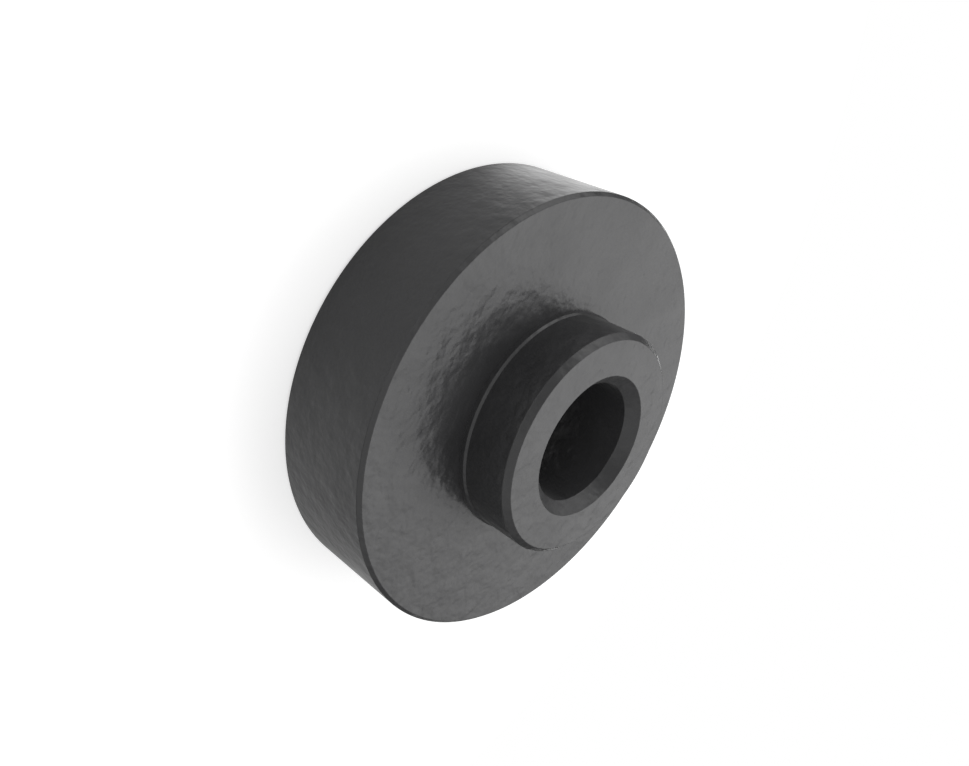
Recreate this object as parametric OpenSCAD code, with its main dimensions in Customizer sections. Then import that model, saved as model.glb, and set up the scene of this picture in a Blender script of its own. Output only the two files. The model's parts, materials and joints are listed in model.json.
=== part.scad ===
// Rubber mounting bushing, moulded in one piece: a thick round flange, a short
// hub on its front face and a bolt hole through both. The back face lies on
// z = 0 and the bore runs along Z, so the part stands on its flange, hub up.

/* [Flange] */
// Outside diameter of the flange
flange_d = 40; // [30:0.5:60]
// Thickness of the flange, from its back face to its front face
flange_t = 9.9; // [4:0.1:20]
// Leg of the 45 degree bevel on both rims of the flange
flange_bevel = 0.3; // [0.1:0.05:1]

/* [Hub] */
// Outside diameter of the hub
hub_d = 20; // [18:0.1:24]
// Height of the hub above the flange's front face
hub_h = 5.2; // [3:0.1:20]
// Leg of the 45 degree bevel round the hub's end
hub_bevel = 0.5; // [0.1:0.05:1]

/* [Root collar] */
// How far the low collar at the hub's root stands out from the hub's side
collar_w = 0.2; // [0.1:0.05:0.5]
// Height of the collar's wall, under its 45 degree shoulder
collar_h = 0.45; // [0.2:0.05:1]

/* [Bore] */
// Diameter of the bolt hole
bore_d = 10.8; // [6:0.1:13]
// Leg of the 45 degree bevel at both mouths of the bolt hole
bore_bevel = 1; // [0.2:0.05:1.2]

/* [Hidden] */
// Facets once round the part
$fn = 180;
flange_r = flange_d / 2;
hub_r = hub_d / 2;
bore_r = bore_d / 2;
// Height of the hub's end face, which is the part's whole height
top_z = flange_t + hub_h;

// Half section of the flange, from the axis out to its rim
function flange_outline() = [
    [0, 0],
    [flange_r - flange_bevel, 0],
    [flange_r, flange_bevel],
    [flange_r, flange_t - flange_bevel],
    [flange_r - flange_bevel, flange_t],
];

// Half section of the hub, from its root collar up to its end face
function hub_outline() = [
    [hub_r + collar_w, flange_t],
    [hub_r + collar_w, flange_t + collar_h],
    [hub_r, flange_t + collar_h + collar_w],
    [hub_r, top_z - hub_bevel],
    [hub_r - hub_bevel, top_z],
    [0, top_z],
];

// Half section of the bolt hole, a little longer than the part and open to
// both faces, with its bevels running out past them
function bore_outline(over = 1) = [
    [0, -over],
    [bore_r + bore_bevel + over, -over],
    [bore_r, bore_bevel],
    [bore_r, top_z - bore_bevel],
    [bore_r + bore_bevel + over, top_z + over],
    [0, top_z + over],
];

// The outside is one turned profile, and the bolt hole is cut from it
module bushing() {
    color("#333334")
    difference() {
        rotate_extrude() polygon(concat(flange_outline(), hub_outline()));
        rotate_extrude() polygon(bore_outline());
    }
}

bushing();
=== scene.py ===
# Rubber mounting bushing, moulded in one piece, standing on the back of its flange with the hub up.
import json
import math

import bmesh
import bpy
from mathutils import Matrix, Vector


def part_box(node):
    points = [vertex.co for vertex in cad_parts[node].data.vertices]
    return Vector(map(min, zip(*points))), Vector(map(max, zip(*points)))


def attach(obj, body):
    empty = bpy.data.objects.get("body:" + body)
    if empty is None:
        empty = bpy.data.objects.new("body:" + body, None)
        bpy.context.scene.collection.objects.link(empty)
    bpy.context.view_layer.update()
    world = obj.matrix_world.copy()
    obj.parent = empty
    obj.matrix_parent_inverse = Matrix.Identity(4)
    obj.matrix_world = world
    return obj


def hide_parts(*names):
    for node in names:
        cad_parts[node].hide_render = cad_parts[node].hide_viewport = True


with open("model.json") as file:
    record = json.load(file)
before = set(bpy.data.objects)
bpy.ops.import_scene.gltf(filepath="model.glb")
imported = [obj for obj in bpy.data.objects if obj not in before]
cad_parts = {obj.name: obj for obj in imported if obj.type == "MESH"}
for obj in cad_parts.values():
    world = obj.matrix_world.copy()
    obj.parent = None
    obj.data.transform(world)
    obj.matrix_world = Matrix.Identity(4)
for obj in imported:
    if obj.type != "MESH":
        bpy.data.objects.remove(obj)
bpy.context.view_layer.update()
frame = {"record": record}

mm = 0.001


def linear(hexColour):
    # sRGB hex to the linear values that Blender's sockets take
    parts = [int(hexColour[i:i + 2], 16) / 255 for i in (1, 3, 5)]
    return [p / 12.92 if p <= 0.04045 else ((p + 0.055) / 1.055) ** 2.4 for p in parts] + [1]


white = linear("#ffffff")


def addNode(tree, kind, settings=None):
    # Another node's output is linked to the input of that name, and any other value is set
    node = tree.nodes.new(kind)
    for name, value in (settings or {}).items():
        if isinstance(value, bpy.types.NodeSocket):
            tree.links.new(value, node.inputs[name])
        elif isinstance(name, int) or name in node.inputs:
            node.inputs[name].default_value = value
        else:
            setattr(node, name, value)
    return node


def newMaterial(name):
    material = bpy.data.materials.new(name)
    material.use_nodes = True
    material.node_tree.nodes.clear()
    return material


def direction(heading, elevation):
    # Both are in degrees, and a heading goes from +Y towards +X
    h, e = math.radians(heading), math.radians(elevation)
    return Vector((math.sin(h) * math.cos(e), math.cos(h) * math.cos(e), math.sin(e)))


# Black carbon-filled rubber, moulded in a spark-eroded tool: a dark satin skin with a creased and pitted
# relief, which shows wherever a reflection ends and stays hidden where the light is even.
mouldedRubber = {
    "deep": "#303031",
    "bloomed": "#3c3c3d",          # wax that has come to the surface greys the skin in soft clouds
    "cloudSize": 6 * mm,
    "cloudDetail": 4,
    "cloudRoughness": 0.6,
    "cloudLow": 0.3,               # nearly all of the clouds' noise lies between these two values
    "cloudHigh": 0.7,
    "ior": 1.52,
    "roughness": 0.355,
    "roughnessSpread": 0.05,
    "sheen": 0.08,                 # fine dust in the skin, which greys it where it is seen edge-on
    "sheenRoughness": 0.3,
    "cellSize": 0.8 * mm,          # blisters parted by creases, copied from the tool's wall
    "cellDepth": 0.023 * mm,
    "cellBend": 0.65,              # how far the blisters are pulled out of round, in cells
    "swellSize": 1.7 * mm,         # slow swell of the skin, from the rubber shrinking as it cures
    "swellDepth": 0.16 * mm,
    "grainSize": 0.4 * mm,         # spark pits, four times as coarse as real ones so that they show
    "grainDepth": 0.02 * mm,
    "reliefDetail": 2,             # finer layers on each noise of the relief
}


def makeRubber(sizes):
    material = newMaterial("moulded_rubber")
    tree = material.node_tree
    place = addNode(tree, "ShaderNodeTexCoord").outputs["Object"]
    clouds = addNode(tree, "ShaderNodeTexNoise", {
        "Vector": place, "Scale": 1 / sizes["cloudSize"],
        "Detail": sizes["cloudDetail"], "Roughness": sizes["cloudRoughness"],
    }).outputs["Fac"]
    # Inputs 6 and 7 are the two colours, and output 2 is their mix
    colour = addNode(tree, "ShaderNodeMix", {
        "data_type": "RGBA", 0: clouds, 6: linear(sizes["deep"]), 7: linear(sizes["bloomed"]),
    }).outputs[2]
    # The place is bent by a noise before the cells are looked up, so that no two of them match
    bendSize = sizes["cellBend"] * sizes["cellSize"]
    bend = addNode(tree, "ShaderNodeTexNoise", {
        "Vector": place, "Scale": 1 / bendSize, "Detail": sizes["reliefDetail"],
    }).outputs["Color"]
    bentPlace = addNode(tree, "ShaderNodeVectorMath", {
        "operation": "MULTIPLY_ADD", 0: bend, 1: [bendSize] * 3, 2: place,
    }).outputs["Vector"]
    cells = addNode(tree, "ShaderNodeTexVoronoi", {
        "feature": "F1", "Vector": bentPlace, "Scale": 1 / sizes["cellSize"],
    }).outputs["Distance"]
    # Heights are summed in millimetres, and the bump turns them back to metres
    height = addNode(tree, "ShaderNodeMath", {
        "operation": "MULTIPLY", 0: cells, 1: -sizes["cellDepth"] / mm,
    }).outputs[0]
    for name in ("swell", "grain"):
        wave = addNode(tree, "ShaderNodeTexNoise", {
            "Vector": place, "Scale": 1 / sizes[name + "Size"], "Detail": sizes["reliefDetail"],
        }).outputs["Fac"]
        height = addNode(tree, "ShaderNodeMath", {
            "operation": "MULTIPLY_ADD", 0: wave, 1: sizes[name + "Depth"] / mm, 2: height,
        }).outputs[0]
    relief = addNode(tree, "ShaderNodeBump", {
        "Strength": 1, "Distance": mm, "Height": height,
    }).outputs["Normal"]
    roughness = addNode(tree, "ShaderNodeMapRange", {
        "Value": clouds, "From Min": sizes["cloudLow"], "From Max": sizes["cloudHigh"],
        "To Min": sizes["roughness"] - sizes["roughnessSpread"],
        "To Max": sizes["roughness"] + sizes["roughnessSpread"],
    }).outputs["Result"]
    skin = addNode(tree, "ShaderNodeBsdfPrincipled", {
        "Base Color": colour, "Metallic": 0, "Roughness": roughness, "IOR": sizes["ior"],
        "Normal": relief, "Sheen Weight": sizes["sheen"], "Sheen Roughness": sizes["sheenRoughness"],
    }).outputs[0]
    addNode(tree, "ShaderNodeOutputMaterial", {"Surface": skin})
    print("rubber mixed")
    return material


# The bushing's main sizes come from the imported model, and the small ones at its edges stand here.
bushing = {
    "turnSteps": 360,          # flats round the piece, each 0.35 mm long at the rim
    "flangeBevel": 0.3 * mm,
    "hubBevel": 0.5 * mm,
    "boreBevel": 1.0 * mm,
    "collarWidth": 0.15 * mm,  # of the collar at the hub's root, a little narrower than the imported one
    "collarHeight": 0.45 * mm,
    "shoulderHeight": 0.2 * mm,
    "edgeWidth": 0.05 * mm,    # a moulded corner is never quite sharp, and its rounding catches light
    "edgeSegments": 3,
    "sharpAngle": 30,          # in degrees: faces that meet at less are shaded as one surface
}


def makeBushing(sizes):
    low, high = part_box("bushing")
    mounts = {m["name"]: m for m in frame["record"]["mounts"]}
    flangeRadius = high.x
    topZ = high.z
    seatZ = mounts["flange_seat"]["pos_m"][2]
    hubRadius = mounts["hub"]["dims"]["r_mm"] * mm
    boreRadius = mounts["bore"]["dims"]["r_mm"] * mm
    flangeBevel, hubBevel, boreBevel = sizes["flangeBevel"], sizes["hubBevel"], sizes["boreBevel"]
    collarRadius = hubRadius + sizes["collarWidth"]
    collarZ = seatZ + sizes["collarHeight"]
    # Half of the section, from the bore's back edge round the flange and the hub to its front edge:
    # radius, height, and how much of the edge width rounds that corner.
    outline = [
        (boreRadius + boreBevel, low.z, 1),
        (flangeRadius - flangeBevel, low.z, 1),
        (flangeRadius, low.z + flangeBevel, 1),
        (flangeRadius, seatZ - flangeBevel, 1),
        (flangeRadius - flangeBevel, seatZ, 1),
        (collarRadius, seatZ, 0),
        (collarRadius, collarZ, 0.5),
        (hubRadius, collarZ + sizes["shoulderHeight"], 0),
        (hubRadius, topZ - hubBevel, 1),
        (hubRadius - hubBevel, topZ, 1),
        (boreRadius + boreBevel, topZ, 1),
        (boreRadius, topZ - boreBevel, 1),
        (boreRadius, low.z + boreBevel, 1),
    ]
    form = bmesh.new()
    rounding = form.edges.layers.float.new("bevel_weight_edge")
    steps = sizes["turnSteps"]
    turns = [2 * math.pi * step / steps for step in range(steps)]
    rings = [
        [form.verts.new((radius * math.cos(turn), radius * math.sin(turn), z)) for turn in turns]
        for radius, z, share in outline
    ]
    for ring, nextRing in zip(rings, rings[1:] + rings[:1]):
        for i in range(steps):
            j = (i + 1) % steps
            form.faces.new((ring[i], ring[j], nextRing[j], nextRing[i]))
    for ring, (radius, z, share) in zip(rings, outline):
        for i in range(steps):
            form.edges.get((ring[i], ring[(i + 1) % steps]))[rounding] = share
    bmesh.ops.recalc_face_normals(form, faces=form.faces)
    mesh = bpy.data.meshes.new("moulded_bushing")
    form.to_mesh(mesh)
    form.free()
    mesh.shade_smooth()
    mesh.set_sharp_from_angle(angle=math.radians(sizes["sharpAngle"]))
    piece = bpy.data.objects.new("moulded_bushing", mesh)
    bpy.context.scene.collection.objects.link(piece)
    edgeRound = piece.modifiers.new("moulded_edges", "BEVEL")
    edgeRound.width = sizes["edgeWidth"]
    edgeRound.segments = sizes["edgeSegments"]
    edgeRound.limit_method = "WEIGHT"
    edgeRound.harden_normals = True
    mesh.materials.append(makeRubber(mouldedRubber))
    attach(piece, "root")
    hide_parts("bushing")
    print("bushing turned:", len(mesh.polygons), "faces before its edges are rounded")


# Pale paper, which glows for the camera alone so that open paper reads white. Reflections see a faint
# glow everywhere and more in round pools of painted light and painted shade, one of them far wider than
# the paper, which paint glints and dim patches into the bushing's reflections. Each pool fades out from
# its core to its edge, and a negative level takes glow away.
floorPaper = {
    "colour": "#dcdcdc",
    "radius": 84 * mm,
    "flats": 96,
    "centre": Vector((-6, -30, 0)) * mm,    # most of the paper lies on the camera's side
    "cameraGlow": 0.56,                     # for the camera alone, so that open paper reads white
    "mirrorGlow": 0.01,
    "paintedReflectionPools": [
        # A painted reflection of bright ground beyond the piece, which gives the bevels and the sides
        # their light ends
        {"middle": Vector((-120, 160, 0)) * mm, "core": 188 * mm, "edge": 205 * mm, "level": 1.15},
        # A painted glint for the hub's bevel, and painted shade, a dim patch, for the flange's bevel
        # beside it
        {"middle": Vector((-24, 40, 0)) * mm, "core": 4 * mm, "edge": 20 * mm, "level": 2.4},
        {"middle": Vector((-52, 16, 0)) * mm, "core": 8 * mm, "edge": 32 * mm, "level": -1.1},
        # Patches of painted light, and one of painted shade, that the flange's side and the hub's side
        # show in reflection
        {"middle": Vector((13, -18.5, 0)) * mm, "core": 2 * mm, "edge": 14 * mm, "level": 0.23},
        {"middle": Vector((23, 2, 0)) * mm, "core": 1 * mm, "edge": 9 * mm, "level": 0.12},
        {"middle": Vector((-22, 4, 0)) * mm, "core": 2 * mm, "edge": 8 * mm, "level": 0.3},
        {"middle": Vector((-20, -8.5, 0)) * mm, "core": 1 * mm, "edge": 6 * mm, "level": 0.32},
        {"middle": Vector((-27, -12, 0)) * mm, "core": 1 * mm, "edge": 9 * mm, "level": -0.3},
        # A faint painted glow round the foot, which only reflections see
        {"middle": Vector((4, 1, 0)) * mm, "core": 19.5 * mm, "edge": 22.5 * mm, "level": 0.08},
    ],
}


def makeFloor(sizes):
    mesh = bpy.data.meshes.new("paper_floor")
    form = bmesh.new()
    bmesh.ops.create_circle(
        form, cap_ends=True, segments=sizes["flats"], radius=sizes["radius"],
        matrix=Matrix.Translation(sizes["centre"]),
    )
    form.to_mesh(mesh)
    form.free()
    floor = bpy.data.objects.new("paper_floor", mesh)
    bpy.context.scene.collection.objects.link(floor)
    material = newMaterial("matt_paper_with_painted_reflections")
    tree = material.node_tree
    rays = addNode(tree, "ShaderNodeLightPath").outputs
    mirrored = addNode(tree, "ShaderNodeMath", {
        "operation": "MAXIMUM", 0: rays["Is Glossy Ray"], 1: rays["Is Transmission Ray"],
    }).outputs[0]
    place = addNode(tree, "ShaderNodeTexCoord").outputs["Object"]
    glow = sizes["mirrorGlow"]
    # Each pool adds painted light to what reflections see of the paper, and a pool with a negative level
    # paints shade there
    for pool in sizes["paintedReflectionPools"]:
        away = addNode(tree, "ShaderNodeVectorMath", {
            "operation": "DISTANCE", 0: place, 1: pool["middle"],
        }).outputs["Value"]
        paintedPoolLevel = addNode(tree, "ShaderNodeMapRange", {
            "interpolation_type": "SMOOTHSTEP", "Value": away,
            "From Min": pool["core"], "From Max": pool["edge"], "To Min": pool["level"], "To Max": 0,
        }).outputs["Result"]
        glow = addNode(tree, "ShaderNodeMath", {"operation": "ADD", 0: paintedPoolLevel, 1: glow}).outputs[0]
    mirrorLight = addNode(tree, "ShaderNodeMath", {
        "operation": "MULTIPLY", 0: mirrored, 1: glow,
    }).outputs[0]
    strength = addNode(tree, "ShaderNodeMath", {
        "operation": "MULTIPLY_ADD", 0: rays["Is Camera Ray"], 1: sizes["cameraGlow"], 2: mirrorLight,
    }).outputs[0]
    paper = addNode(tree, "ShaderNodeBsdfDiffuse", {"Color": linear(sizes["colour"])}).outputs[0]
    light = addNode(tree, "ShaderNodeEmission", {"Color": white, "Strength": strength}).outputs[0]
    both = addNode(tree, "ShaderNodeAddShader", {0: paper, 1: light}).outputs[0]
    addNode(tree, "ShaderNodeOutputMaterial", {"Surface": both})
    mesh.materials.append(material)
    print("floor laid")


# A soft dome over the floor, with three softboxes in it and two dark flags, whose level is negative.
# Below the floor's level it is dark. Angles are in degrees, a heading goes from +Y towards +X, and a box
# fades from its core to its reach.
studioLight = {
    "domeLevel": 0.73,
    "horizonFade": 18,         # how high over the floor's level the dome reaches its full light
    "boxes": [
        {"heading": -11, "elevation": 47, "level": 1.53, "core": 5, "reach": 36},
        {"heading": -93, "elevation": 17, "level": 1.4, "core": 5, "reach": 31},
        {"heading": 180, "elevation": 14, "level": 0.7, "core": 5, "reach": 32},
        {"heading": -150, "elevation": 62, "level": -0.42, "core": 5, "reach": 34},
        {"heading": 52, "elevation": 16, "level": -0.4, "core": 5, "reach": 36},
    ],
}


def makeLight(sizes):
    world = bpy.data.worlds.new("studio")
    bpy.context.scene.world = world
    world.use_nodes = True
    tree = world.node_tree
    tree.nodes.clear()
    way = addNode(tree, "ShaderNodeTexCoord").outputs["Generated"]
    level = sizes["domeLevel"]
    for box in sizes["boxes"]:
        toBox = addNode(tree, "ShaderNodeVectorMath", {
            "operation": "DOT_PRODUCT", 0: way, 1: direction(box["heading"], box["elevation"]),
        }).outputs["Value"]
        boxLight = addNode(tree, "ShaderNodeMapRange", {
            "interpolation_type": "SMOOTHSTEP", "Value": toBox,
            "From Min": math.cos(math.radians(box["reach"])),
            "From Max": math.cos(math.radians(box["core"])),
            "To Min": 0, "To Max": box["level"],
        }).outputs["Result"]
        level = addNode(tree, "ShaderNodeMath", {"operation": "ADD", 0: boxLight, 1: level}).outputs[0]
    height = addNode(tree, "ShaderNodeSeparateXYZ", {"Vector": way}).outputs["Z"]
    aboveFloor = addNode(tree, "ShaderNodeMapRange", {
        "interpolation_type": "SMOOTHSTEP", "Value": height,
        "From Min": 0, "From Max": math.sin(math.radians(sizes["horizonFade"])),
    }).outputs["Result"]
    level = addNode(tree, "ShaderNodeMath", {
        "operation": "MULTIPLY", 0: level, 1: aboveFloor,
    }).outputs[0]
    softLight = addNode(tree, "ShaderNodeBackground", {"Color": white, "Strength": level}).outputs[0]
    openView = addNode(tree, "ShaderNodeBackground", {"Color": white, "Strength": 1}).outputs[0]
    seen = addNode(tree, "ShaderNodeLightPath").outputs["Is Camera Ray"]
    both = addNode(tree, "ShaderNodeMixShader", {0: seen, 1: softLight, 2: openView}).outputs[0]
    addNode(tree, "ShaderNodeOutputWorld", {"Surface": both})
    print("light set")


# The place from which the photo was taken. Its view is turned far round, so the piece lies on its side.
photoCamera = {
    "target": Vector((-0.273, 0, 1.956)) * mm,
    "distance": 82.74 * mm,
    "heading": -0.24,              # degrees from +Y towards +X
    "elevation": 37.84,
    "roll": 119.41,
    "sensorWidth": 36.0,           # this and the lens are in Blender's own millimetres
    "lens": 33.515,
    "clipStart": 1 * mm,
    "clipEnd": 10,                 # metres
}


def makeCamera(sizes):
    data = bpy.data.cameras.new("photo_camera")
    data.sensor_width = sizes["sensorWidth"]
    data.lens = sizes["lens"]
    data.clip_start = sizes["clipStart"]
    data.clip_end = sizes["clipEnd"]
    camera = bpy.data.objects.new("photo_camera", data)
    bpy.context.scene.collection.objects.link(camera)
    back = -direction(sizes["heading"], -sizes["elevation"])
    level = (-back).to_track_quat("-Z", "Y")
    turn = Matrix.Rotation(math.radians(sizes["roll"]), 4, "Z")
    place = Matrix.Translation(sizes["target"] + back * sizes["distance"])
    camera.matrix_world = place @ level.to_matrix().to_4x4() @ turn
    bpy.context.scene.camera = camera
    bpy.context.scene.view_settings.view_transform = "Standard"
    print("camera placed at", [round(v / mm, 2) for v in camera.matrix_world.translation], "mm")


makeCamera(photoCamera)
makeBushing(bushing)
makeFloor(floorPaper)
makeLight(studioLight)
